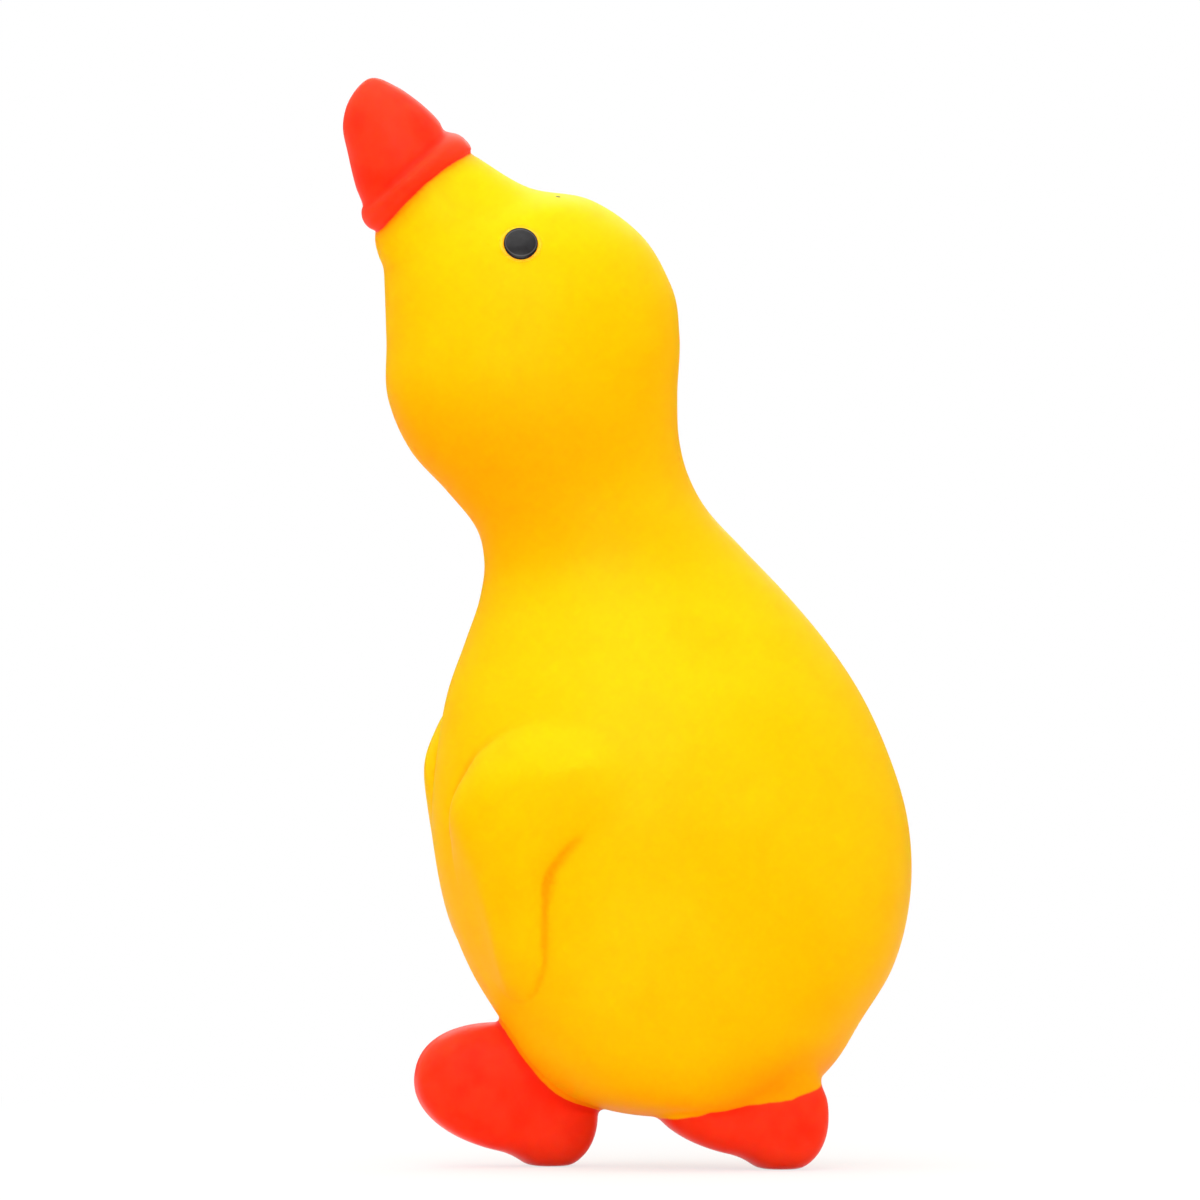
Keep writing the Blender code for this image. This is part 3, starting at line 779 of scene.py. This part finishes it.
class Nodes:
    """Short calls that add shader nodes to a material or a world."""

    def __init__(self, name, world=False):
        self.material = (bpy.data.worlds if world else bpy.data.materials).new(name)
        self.material.use_nodes = True
        self.tree = self.material.node_tree
        self.shader = self.tree.nodes["Background" if world else "Principled BSDF"]

    def node(self, kind, inputs=(), **values):
        made = self.tree.nodes.new(kind)
        for key, value in values.items():
            setattr(made, key, value)
        for key, value in dict(inputs).items():
            self.set(made.inputs[key], value)
        return made

    def set(self, socket, value):
        if isinstance(value, bpy.types.NodeSocket):
            self.tree.links.new(value, socket)
        else:
            socket.default_value = value

    def math(self, operation, a, b):
        return self.node("ShaderNodeMath", {0: a, 1: b}, operation=operation).outputs[0]

    def plus(self, a, b):
        return self.math("ADD", a, b)

    def minus(self, a, b):
        return self.math("SUBTRACT", a, b)

    def times(self, a, b):
        return self.math("MULTIPLY", a, b)

    def larger(self, a, b):
        return self.math("MAXIMUM", a, b)

    def noise(self, place, scale, detail=2.0, rough=0.5):
        made = self.node(
            "ShaderNodeTexNoise", {"Vector": place, "Scale": scale, "Detail": detail, "Roughness": rough}
        )
        return made.outputs["Fac"]

    def ramp(self, value, low, high):
        """A smooth step from 0 at low to 1 at high, whichever of the two is larger."""
        made = self.node(
            "ShaderNodeMapRange",
            {"Value": value, "From Min": low, "From Max": high, "To Min": 0.0, "To Max": 1.0},
            interpolation_type="SMOOTHSTEP",
            clamp=True,
        )
        return made.outputs["Result"]

    def band(self, value, start, full, fading, end):
        """Rises from 0 at start to 1 at full, and falls from 1 at fading to 0 at end."""
        return self.times(self.ramp(value, start, full), self.ramp(value, end, fading))

    def mix(self, share, a, b):
        """The colour a where the share is 0, and b where it is 1."""
        made = self.node("ShaderNodeMix", data_type="RGBA")
        self.set(made.inputs[0], share)
        self.set(made.inputs[6], a)
        self.set(made.inputs[7], b)
        return made.outputs[2]

    def blend(self, share, a, b):
        """The number a where the share is 0, and b where it is 1."""
        made = self.node("ShaderNodeMix", data_type="FLOAT")
        self.set(made.inputs[0], share)
        self.set(made.inputs[2], a)
        self.set(made.inputs[3], b)
        return made.outputs[0]

    def place(self):
        return self.node("ShaderNodeTexCoord").outputs["Object"]

    def field(self, name):
        return self.node("ShaderNodeAttribute", attribute_name=name).outputs["Fac"]

    def gap(self, place, centres):
        """The distance to the nearest of a few points."""
        nearest_gap = None
        for centre in centres:
            away = self.node("ShaderNodeVectorMath", {0: place, 1: tuple(centre)}, operation="DISTANCE")
            away = away.outputs["Value"]
            nearest_gap = away if nearest_gap is None else self.math("MINIMUM", nearest_gap, away)
        return nearest_gap

    def bump(self, height, distance):
        made = self.node("ShaderNodeBump", {"Height": height, "Distance": distance, "Strength": 1.0})
        self.tree.links.new(made.outputs["Normal"], self.shader.inputs["Normal"])


def eye_lengths(shares):
    """Distances from an eye's middle, given as shares of its radius."""
    return [EYE_DIAMETER / 2 * share for share in shares]


def bare_vinyl(m, place, axes, hollow):
    """The yellow vinyl's colour, cloudy, with painted shade at the neck and in hollows."""
    clouds = m.noise(place, scale=14.0)
    yellow = m.mix(m.ramp(clouds, low=0.35, high=0.65), YELLOW, YELLOW_PALE)
    stains = m.noise(place, scale=45.0, detail=3.0)
    yellow = m.mix(m.times(m.ramp(stains, low=0.50, high=0.80), STAIN_SHARE), yellow, YELLOW_DEEP)
    # Painted shade: a deeper yellow band round the neck, stronger at the front.
    painted_neck_shade = m.band(axes["Z"], *NECK_SHADE)
    painted_neck_shade = m.times(painted_neck_shade, m.blend(m.ramp(axes["Y"], *NECK_SHADE_TURN), *NECK_SHADE_SHARE))
    yellow = m.mix(painted_neck_shade, yellow, YELLOW_DEEP)
    # Painted shade: hollows and creases are coloured orange.
    return m.mix(hollow, yellow, ORANGE)


def sprayed_paint(m, place):
    """How far the paint covers the vinyl, and the mist of paint round the beak and round the feet."""
    ragged = m.minus(m.noise(place, scale=160.0, detail=3.0, rough=0.6), 0.5)
    grain = m.minus(m.noise(place, scale=1400.0, rough=0.7), 0.5)
    wobble = m.plus(m.times(ragged, PAINT_RAGGED), m.times(grain, PAINT_GRAIN))
    beak = m.plus(m.field("beak_paint"), wobble)
    feet = m.plus(m.field("foot_paint"), wobble)
    patches = m.ramp(m.noise(place, scale=35.0), low=0.35, high=0.65)
    beak_mist = m.times(m.ramp(beak, *MIST_EDGE), m.blend(patches, *BEAK_MIST))
    foot_mist = m.times(m.ramp(feet, *MIST_EDGE), m.blend(patches, *FOOT_MIST))
    paint = m.larger(m.ramp(beak, *PAINT_EDGE), m.ramp(feet, *PAINT_EDGE))
    return paint, beak_mist, foot_mist


def vinyl_material(eyes, speck):
    """Soft yellow vinyl, with red paint sprayed on the beak and the feet.

    Each eye sits in a thin pale ring, and shade is painted low at the back by the left leg, at the neck and
    in hollows.
    """
    m = Nodes("duck_vinyl")
    place = m.place()
    axes = m.node("ShaderNodeSeparateXYZ", {0: place}).outputs
    # Painted shade in hollows and creases, from the skin's depth field.
    hollow = m.times(m.ramp(m.field("hollow"), *HOLLOW_DEPTH), HOLLOW_SHADE_SHARE)
    yellow = bare_vinyl(m, place, axes, hollow)

    ring = m.band(m.gap(place, eyes), *eye_lengths(EYE_RING))
    yellow = m.mix(m.times(ring, EYE_RING_SHARE), yellow, YELLOW_RING)
    dirt = m.plus(m.gap(place, [speck]), m.times(m.noise(place, scale=900.0), SPECK_RAGGED))
    dirt = m.ramp(dirt, *SPECK_EDGE)
    yellow = m.mix(dirt, yellow, SPECK)

    paint, beak_mist, foot_mist = sprayed_paint(m, place)
    yellow = m.mix(beak_mist, yellow, ORANGE)
    yellow = m.mix(foot_mist, yellow, ORANGE)
    # Painted shade: the body low down and towards the back, above the feet's paint, is coloured orange.
    leg = m.times(m.ramp(axes["Y"], *LEG_SHADE_BACK), m.ramp(axes["Z"], *LEG_SHADE_LEVEL))
    yellow = m.mix(m.times(leg, LEG_SHADE_SHARE), yellow, ORANGE)
    streaks = m.noise(place, scale=60.0, detail=3.0)
    red = m.mix(m.ramp(streaks, low=0.40, high=0.75), RED, RED_DEEP)
    # Painted shade: the red paint is darker in its creases.
    red = m.mix(hollow, red, RED_SHADE)
    m.set(m.shader.inputs["Base Color"], m.mix(paint, yellow, red))

    smear = m.ramp(m.noise(place, scale=30.0, detail=4.0, rough=0.6), low=0.3, high=0.7)
    rough = m.blend(paint, m.blend(smear, *VINYL_SATIN), m.blend(smear, *PAINT_GLOSS))
    m.set(m.shader.inputs["Roughness"], rough)
    m.shader.inputs["Specular IOR Level"].default_value = VINYL_SHINE
    m.set(m.shader.inputs["Subsurface Weight"], m.minus(1.0, dirt))
    m.shader.inputs["Subsurface Radius"].default_value = VINYL_LIGHT_REACH
    m.shader.inputs["Subsurface Scale"].default_value = VINYL_LIGHT_SCALE

    grain = m.times(m.noise(place, scale=900.0), VINYL_FINE_SHARE)
    waves = m.noise(place, scale=120.0)
    m.bump(m.plus(m.plus(grain, waves), m.times(ring, EYE_RING_RISE)), distance=VINYL_GRAIN)
    return m.material


def eye_material(eyes):
    """Dark paint with a thin paler line just inside its edge."""
    m = Nodes("eye_paint")
    place = m.place()
    eye_gap = m.gap(place, eyes)
    smear = m.noise(place, scale=500.0, detail=3.0)
    grey = m.mix(smear, EYE_GREY, EYE_EDGE)
    colour = m.mix(m.band(eye_gap, *eye_lengths(EYE_LINE)), grey, EYE_RIM)
    colour = m.mix(m.ramp(eye_gap, *eye_lengths(EYE_DARK_EDGE)), colour, EYE_EDGE)
    m.set(m.shader.inputs["Base Color"], colour)
    m.set(m.shader.inputs["Roughness"], m.blend(smear, *EYE_GLOSS))
    m.shader.inputs["Specular IOR Level"].default_value = EYE_SHINE
    m.bump(m.noise(place, scale=1500.0), distance=EYE_GRAIN)
    return m.material


def squeaker_material():
    """Natural white plastic with a satin face."""
    m = Nodes("squeaker_plastic")
    place = m.place()
    tint = m.noise(place, scale=200.0, detail=3.0)
    m.set(m.shader.inputs["Base Color"], m.mix(tint, SQUEAKER_PALE, SQUEAKER_DEEP))
    m.set(m.shader.inputs["Roughness"], m.blend(m.noise(place, scale=900.0), *SQUEAKER_SATIN))
    m.bump(m.noise(place, scale=2500.0), distance=SQUEAKER_GRAIN)
    return m.material


def floor_material():
    """A pale floor that keeps the duck's shadow, and fades into the white backdrop further away."""
    m = Nodes("floor")
    m.tree.nodes.remove(m.shader)
    path = m.node("ShaderNodeLightPath").outputs
    seen = m.larger(path["Is Glossy Ray"], path["Is Transmission Ray"])
    seen = m.larger(path["Is Camera Ray"], seen)
    away = m.node("ShaderNodeVectorMath", {0: m.place()}, operation="LENGTH").outputs["Value"]
    share = m.blend(m.ramp(away, *FLOOR_FADE), FLOOR_GLOW, 1.0)
    matt = m.node("ShaderNodeBsdfDiffuse", {"Color": m.mix(seen, FLOOR_BOUNCE, FLOOR_PALE)})
    glow = m.node("ShaderNodeEmission", {"Color": WHITE, "Strength": 1.0})
    mixed = m.node("ShaderNodeMixShader", {0: m.times(seen, share)})
    m.tree.links.new(matt.outputs[0], mixed.inputs[1])
    m.tree.links.new(glow.outputs[0], mixed.inputs[2])
    m.tree.links.new(mixed.outputs[0], m.tree.nodes["Material Output"].inputs["Surface"])
    return m.material


# Camera, floor and light


def camera_axes():
    """The direction from the duck to the camera, and the picture's right and up."""
    towards = Vector(
        (
            math.sin(CAMERA_TURN) * math.cos(CAMERA_RISE),
            -math.cos(CAMERA_TURN) * math.cos(CAMERA_RISE),
            math.sin(CAMERA_RISE),
        )
    )
    right = Vector((math.cos(CAMERA_TURN), math.sin(CAMERA_TURN), 0))
    return towards, right, towards.cross(right)


def make_camera():
    """A long lens, far away, aimed so that the frame's origin falls on its pixel."""
    towards, right, up = camera_axes()
    across = (PIXELS / 2 - ORIGIN_PIXEL[0]) * PIXEL
    rise = (ORIGIN_PIXEL[1] - PIXELS / 2) * PIXEL
    target = right * across + up * rise
    data = bpy.data.cameras.new("camera")
    data.sensor_width = SENSOR
    data.lens = SENSOR * CAMERA_DISTANCE / (PIXELS * PIXEL)
    data.clip_end = CAMERA_SIGHT
    camera = bpy.data.objects.new("camera", data)
    bpy.context.scene.collection.objects.link(camera)
    camera.location = target + towards * CAMERA_DISTANCE
    camera.rotation_euler = towards.to_track_quat("Z", "Y").to_euler()
    bpy.context.scene.camera = camera


def make_lamp(name, place, watts):
    data = bpy.data.lights.new(name, "AREA")
    data.shape = "DISK"
    data.size = LAMP_SIZE
    data.energy = watts
    lamp = bpy.data.objects.new(name, data)
    bpy.context.scene.collection.objects.link(lamp)
    lamp.location = place
    lamp.rotation_euler = (Vector(place) - Vector(LAMP_AIM)).to_track_quat("Z", "Y").to_euler()


def make_floor():
    turns = [2 * math.pi * k / FLOOR_SIDES for k in range(FLOOR_SIDES)]
    rim = [(FLOOR_RADIUS * math.cos(turn), FLOOR_RADIUS * math.sin(turn), 0) for turn in turns]
    floor = mesh_object("floor", rim, [tuple(range(FLOOR_SIDES))])
    floor.location.z = -FLOOR_DROP
    floor.data.materials.append(floor_material())


def make_sky():
    """A sky that is brighter from above, and that the camera sees as white."""
    m = Nodes("studio", world=True)
    path = m.node("ShaderNodeLightPath").outputs
    seen = m.larger(path["Is Camera Ray"], path["Is Transmission Ray"])
    direction = m.node("ShaderNodeTexCoord").outputs["Generated"]
    up = m.node("ShaderNodeSeparateXYZ", {0: direction}).outputs["Z"]
    sky = m.mix(m.ramp(up, low=-0.1, high=1.0), SKY_LOW, SKY_HIGH)
    m.set(m.shader.inputs["Color"], m.mix(seen, sky, WHITE))
    bpy.context.scene.world = m.material


# Put together


make_camera()
make_floor()
make_sky()
for lamp_name, lamp_place, lamp_watts in LAMPS:
    make_lamp(lamp_name, lamp_place, lamp_watts)

body, skin_tree = fused_body()
eyes = [make_eye("left_eye", 1, skin_tree), make_eye("right_eye", -1, skin_tree)]
eye_places = [place for _, place in eyes]
speck, _, _, _ = skin_tree.ray_cast(Vector((HEAD_WIDTH, -SPECK_REACH, SPECK_LEVEL)), Vector((-1, 0, 0)))

body.data.materials.clear()
body.data.materials.append(vinyl_material(eye_places, speck))
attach(body, "root")
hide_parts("body")

eye_paint = eye_material(eye_places)
for eye, _ in eyes:
    eye.data.materials.append(eye_paint)
    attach(eye, "root")

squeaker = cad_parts["squeaker"]
squeaker_finish = squeaker_material()
for material_slot in squeaker.material_slots:
    material_slot.material = squeaker_finish

bpy.context.scene.view_settings.view_transform = "Standard"
